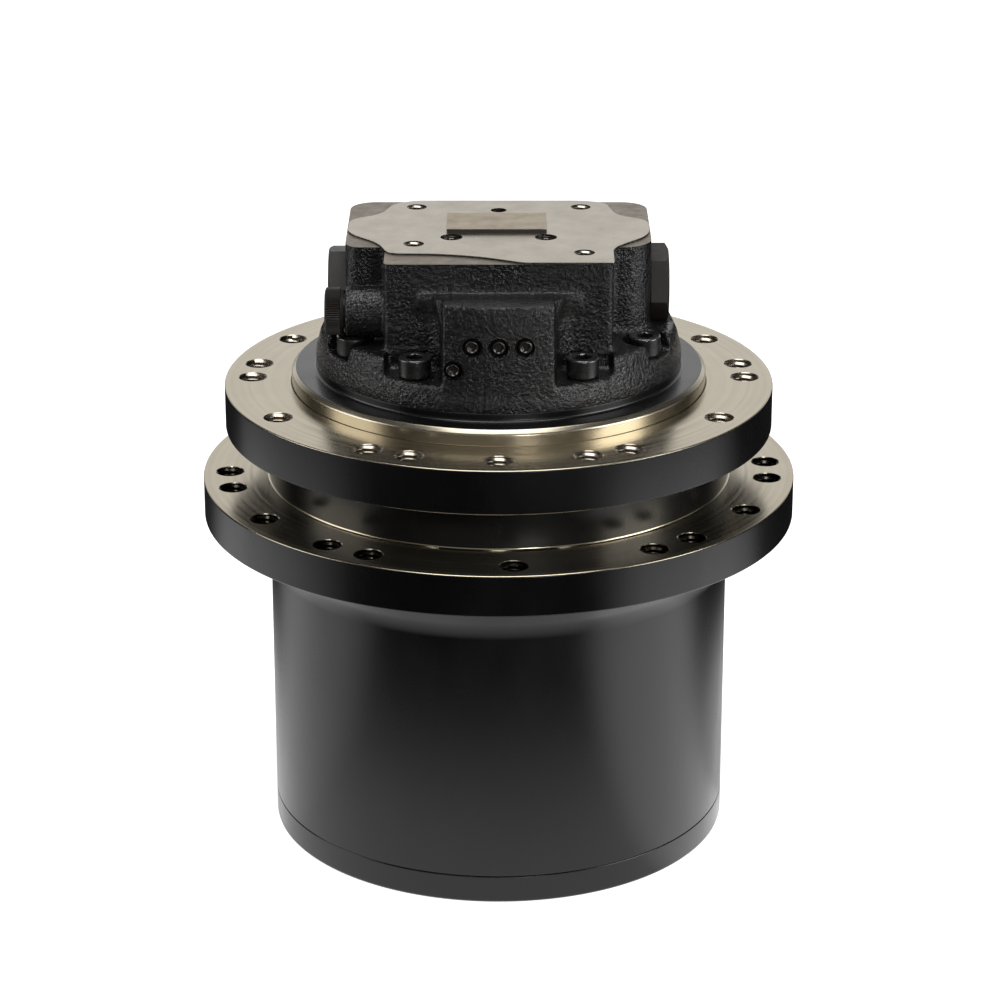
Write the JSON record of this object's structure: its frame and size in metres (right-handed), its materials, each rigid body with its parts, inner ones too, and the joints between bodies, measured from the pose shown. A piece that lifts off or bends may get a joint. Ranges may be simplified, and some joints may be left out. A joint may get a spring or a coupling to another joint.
{
  "type": "excavator final drive",
  "caption": "Track drive of a small excavator: planetary reduction gearbox with an axial piston motor, frame flange and sprocket flange.",
  "frame": {"origin": "on the drive's axis, at the outer face of the gearbox cover, which it stands on", "axes": "+Z along the axis from the gearbox to the motor; -Y is the side with the gauge plugs; +Y the hose ports"},
  "size_m": [0.302, 0.302, 0.3174],
  "materials": {
    "black_paint": "satin black enamel over machined cast iron",
    "cover_paint": "gloss black paint over rough cast iron",
    "bare_iron": "bare turned and milled cast iron",
    "gear_steel": "ground and case hardened steel",
    "bearing_steel": "polished bearing steel",
    "screw_steel": "black oxide steel",
    "plug_steel": "dark phosphated steel",
    "seal_iron": "lapped seal iron",
    "seal_rubber": "nitrile rubber",
    "bronze": "bearing bronze",
    "friction_facing": "sintered friction facing on steel",
    "spring_steel": "oiled spring steel",
    "plate_aluminium": "brushed plate"
  },
  "bodies": {
    "frame_side": {"spindle": "bare_iron", "second_stage_carrier": "gear_steel", "second_stage_carrier_screws": "screw_steel", "second_stage_pins": "gear_steel", "second_stage_thrust_washers": "bronze", "main_bearing_inner_races": "bearing_steel", "frame_seal_ring": "seal_iron", "frame_seal_cord": "seal_rubber", "shaft_bearing_outer_races": "bearing_steel", "shaft_lip_seal": "seal_rubber", "brake_steel_plates": "spring_steel", "brake_disc_springs": "spring_steel", "valve_plate": "bronze", "motor_cover": "cover_paint", "motor_cover_screws": "screw_steel", "motor_cover_seal": "seal_rubber", "gauge_port_plugs": "screw_steel", "top_port_plugs": "screw_steel", "spool_caps": "plug_steel", "knurled_port_cap": "screw_steel", "name_plate": "plate_aluminium", "counterbalance_springs": "spring_steel", "two_speed_spring": "spring_steel"},
    "sprocket_side": {"housing": "black_paint", "gearbox_cover": "black_paint", "gearbox_cover_screws": "screw_steel", "gearbox_cover_seal": "seal_rubber", "oil_plugs": "plug_steel", "thrust_pad": "gear_steel", "main_bearing_outer_races": "bearing_steel", "housing_seal_ring": "seal_iron", "housing_seal_cord": "seal_rubber"},
    "main_rollers": {"main_bearing_rollers": "bearing_steel"},
    "first_carrier": {"first_stage_carrier": "gear_steel", "second_stage_sun_gear": "gear_steel", "first_stage_pins": "gear_steel", "first_stage_thrust_washers": "bronze"},
    "first_planet_1": {"first_stage_planet_1": "gear_steel"},
    "first_planet_2": {"first_stage_planet_2": "gear_steel"},
    "first_planet_3": {"first_stage_planet_3": "gear_steel"},
    "second_planet_1": {"second_stage_planet_1": "gear_steel"},
    "second_planet_2": {"second_stage_planet_2": "gear_steel"},
    "second_planet_3": {"second_stage_planet_3": "gear_steel"},
    "second_planet_4": {"second_stage_planet_4": "gear_steel"},
    "rotor": {"motor_shaft": "gear_steel", "cylinder_block": "gear_steel", "drive_gear": "gear_steel", "brake_friction_discs": "friction_facing", "retainer_guide": "gear_steel", "shaft_bearing_inner_races": "bearing_steel", "block_hold_down_spring": "spring_steel", "pistons": "gear_steel"},
    "shaft_rollers": {"shaft_bearing_rollers": "bearing_steel"},
    "swash": {"swash_plate": "gear_steel"},
    "shoes": {"piston_shoes": "bronze", "shoe_retainer_plate": "gear_steel"},
    "control_piston": {"swash_control_piston": "gear_steel"},
    "brake_release_piston": {"brake_piston": "gear_steel"},
    "counterbalance": {"counterbalance_spool": "gear_steel"},
    "two_speed": {"two_speed_spool": "gear_steel"}
  },
  "joints": [
    {"name": "housing_spin", "type": "hinge", "parent": "frame_side", "child": "sprocket_side", "pos_m": [0, 0, 0.1], "axis": [0, 0, 1], "continuous": true},
    {"name": "main_roller_orbit", "type": "hinge", "parent": "frame_side", "child": "main_rollers", "pos_m": [0, 0, 0.1], "axis": [0, 0, 1], "continuous": true},
    {"name": "first_carrier_spin", "type": "hinge", "parent": "frame_side", "child": "first_carrier", "pos_m": [0, 0, 0.1], "axis": [0, 0, 1], "continuous": true},
    {"name": "first_planet_spin_1", "type": "hinge", "parent": "first_carrier", "child": "first_planet_1", "pos_m": [0.05625, 0, 0.035], "axis": [0, 0, 1], "continuous": true},
    {"name": "first_planet_spin_2", "type": "hinge", "parent": "first_carrier", "child": "first_planet_2", "pos_m": [-0.02813, 0.04871, 0.035], "axis": [0, 0, 1], "continuous": true},
    {"name": "first_planet_spin_3", "type": "hinge", "parent": "first_carrier", "child": "first_planet_3", "pos_m": [-0.02813, -0.04871, 0.035], "axis": [0, 0, 1], "continuous": true},
    {"name": "second_planet_spin_1", "type": "hinge", "parent": "frame_side", "child": "second_planet_1", "pos_m": [0.04066, 0.04066, 0.084], "axis": [0, 0, 1], "continuous": true},
    {"name": "second_planet_spin_2", "type": "hinge", "parent": "frame_side", "child": "second_planet_2", "pos_m": [-0.04066, 0.04066, 0.084], "axis": [0, 0, 1], "continuous": true},
    {"name": "second_planet_spin_3", "type": "hinge", "parent": "frame_side", "child": "second_planet_3", "pos_m": [-0.04066, -0.04066, 0.084], "axis": [0, 0, 1], "continuous": true},
    {"name": "second_planet_spin_4", "type": "hinge", "parent": "frame_side", "child": "second_planet_4", "pos_m": [0.04066, -0.04066, 0.084], "axis": [0, 0, 1], "continuous": true},
    {"name": "rotor_spin", "type": "hinge", "parent": "frame_side", "child": "rotor", "pos_m": [0, 0, 0.1], "axis": [0, 0, 1], "continuous": true, "deforming": ["pistons"]},
    {"name": "shaft_roller_orbit", "type": "hinge", "parent": "frame_side", "child": "shaft_rollers", "pos_m": [0, 0, 0.1], "axis": [0, 0, 1], "continuous": true},
    {"name": "swash_tilt", "type": "hinge", "parent": "frame_side", "child": "swash", "pos_m": [0, 0, 0.175], "axis": [1, 0, 0], "range_deg": [-7.5, 0]},
    {"name": "shoe_spin", "type": "hinge", "parent": "swash", "child": "shoes", "pos_m": [0, 0, 0.175], "axis": [0, -0.2588, 0.9659], "continuous": true},
    {"name": "control_piston_slide", "type": "slide", "parent": "frame_side", "child": "control_piston", "axis": [0, 0, 1], "range_m": [0, 0.0057]},
    {"name": "brake_release", "type": "slide", "parent": "frame_side", "child": "brake_release_piston", "axis": [0, 0, 1], "range_m": [0, 0.0018], "stiffness_N_per_m": 600000, "springref_m": -0.002, "deforming": ["brake_disc_springs"]},
    {"name": "counterbalance_shift", "type": "slide", "parent": "frame_side", "child": "counterbalance", "axis": [1, 0, 0], "range_m": [-0.006, 0.006], "stiffness_N_per_m": 5000, "deforming": ["counterbalance_springs"]},
    {"name": "two_speed_shift", "type": "slide", "parent": "frame_side", "child": "two_speed", "axis": [1, 0, 0], "range_m": [0, 0.004], "stiffness_N_per_m": 1500, "springref_m": -0.002, "deforming": ["two_speed_spring"]}
  ],
  "couplings": [
    {"joint": "main_roller_orbit", "follows": "housing_spin", "ratio": 0.526},
    {"joint": "first_carrier_spin", "follows": "housing_spin", "ratio": -4.4118},
    {"joint": "first_planet_spin_1", "follows": "housing_spin", "ratio": 13.529},
    {"joint": "first_planet_spin_2", "follows": "housing_spin", "ratio": 13.529},
    {"joint": "first_planet_spin_3", "follows": "housing_spin", "ratio": 13.529},
    {"joint": "second_planet_spin_1", "follows": "housing_spin", "ratio": 2.5862},
    {"joint": "second_planet_spin_2", "follows": "housing_spin", "ratio": 2.5862},
    {"joint": "second_planet_spin_3", "follows": "housing_spin", "ratio": 2.5862},
    {"joint": "second_planet_spin_4", "follows": "housing_spin", "ratio": 2.5862},
    {"joint": "rotor_spin", "follows": "housing_spin", "ratio": -31.471},
    {"joint": "shaft_roller_orbit", "follows": "housing_spin", "ratio": -12.903},
    {"joint": "shoe_spin", "follows": "housing_spin", "ratio": -31.471},
    {"joint": "control_piston_slide", "follows": "swash_tilt", "m_per_rad": -0.0423}
  ]
}
